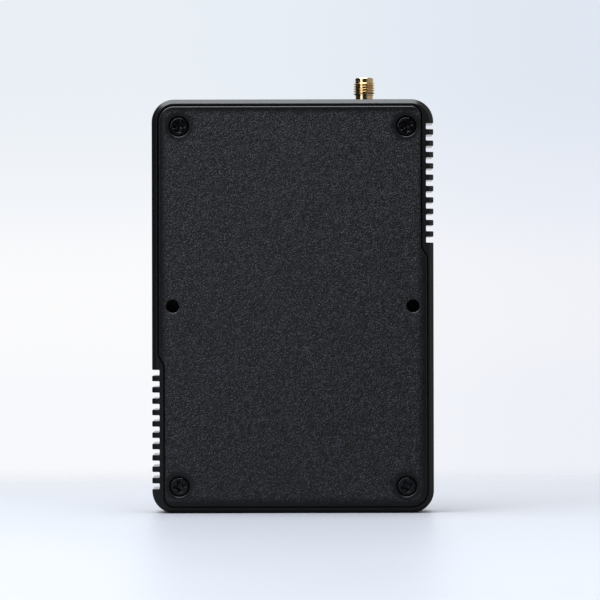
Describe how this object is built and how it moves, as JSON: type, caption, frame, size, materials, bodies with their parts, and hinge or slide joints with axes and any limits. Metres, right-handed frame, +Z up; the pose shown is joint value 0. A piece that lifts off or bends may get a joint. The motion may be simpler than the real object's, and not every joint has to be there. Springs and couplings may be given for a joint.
{
  "type": "cellular signal booster",
  "caption": "Flat upright box with a screwed-on textured back cover, ventilation combs on both long sides and a threaded antenna jack on its top edge.",
  "frame": {"origin": "under the middle of the case's bottom edge, where it stands", "axes": "+Z up the case towards the antenna jack, back cover facing -Y, +X to the right as the back is looked at"},
  "size_m": [0.08, 0.022, 0.1238],
  "materials": {
    "shell_plastic": "fine spark-eroded texture",
    "cover_plastic": "fine spark-eroded texture",
    "black_screw": "black oxide",
    "gold_plate": "bright gold plate",
    "white_insulator": "satin",
    "board": "green solder mask",
    "steel_screw": "zinc plated",
    "tin_plate": "tin plated",
    "chip_mould": "moulded epoxy",
    "filter_ceramic": "silvered ceramic",
    "saw_lid": "gold-flashed lid",
    "inductor_ferrite": "ferrite",
    "capacitor_can": "satin",
    "capacitor_ceramic": "sintered",
    "resistor_body": "sintered",
    "inlet_plastic": "moulded",
    "led_lens": "clear epoxy over phosphor",
    "clear_pipe": "clear acrylic",
    "spreader_metal": "brushed",
    "thermal_pad": "soft silicone",
    "patch_metal": "rolled sheet",
    "nylon": "natural nylon",
    "lead_jacket": "extruded"
  },
  "bodies": {
    "root": {"antenna_jack_body": "gold_plate", "antenna_jack_contact": "gold_plate", "antenna_jack_insulator": "white_insulator", "back_cover": "cover_plastic", "board_screws": "steel_screw", "bulk_capacitors": "capacitor_can", "case_screws": "black_screw", "chip_capacitors": "capacitor_ceramic", "chip_resistors": "resistor_body", "clock_crystal": "tin_plate", "coax_lead": "lead_jacket", "coax_plug": "gold_plate", "coax_socket": "gold_plate", "controller_chip": "chip_mould", "donor_duplexer": "filter_ceramic", "downlink_low_noise_amplifier": "chip_mould", "downlink_power_amplifier": "chip_mould", "downlink_shield_fence": "tin_plate", "downlink_shield_lid": "tin_plate", "front_shell": "shell_plastic", "gain_control_chips": "chip_mould", "heat_spreader": "spreader_metal", "light_pipe": "clear_pipe", "main_board": "board", "patch_feed_pin": "gold_plate", "patch_radiator": "patch_metal", "patch_screws": "nylon", "patch_spacers": "nylon", "power_inductor": "inductor_ferrite", "power_jack_housing": "inlet_plastic", "power_jack_pin": "tin_plate", "power_jack_spring": "tin_plate", "saw_filters": "saw_lid", "server_duplexer": "filter_ceramic", "spreader_screws": "steel_screw", "status_leds": "led_lens", "thermal_pads": "thermal_pad", "uplink_low_noise_amplifier": "chip_mould", "uplink_power_amplifier": "chip_mould", "uplink_shield_fence": "tin_plate", "uplink_shield_lid": "tin_plate", "voltage_regulator": "chip_mould"}
  },
  "joints": []
}
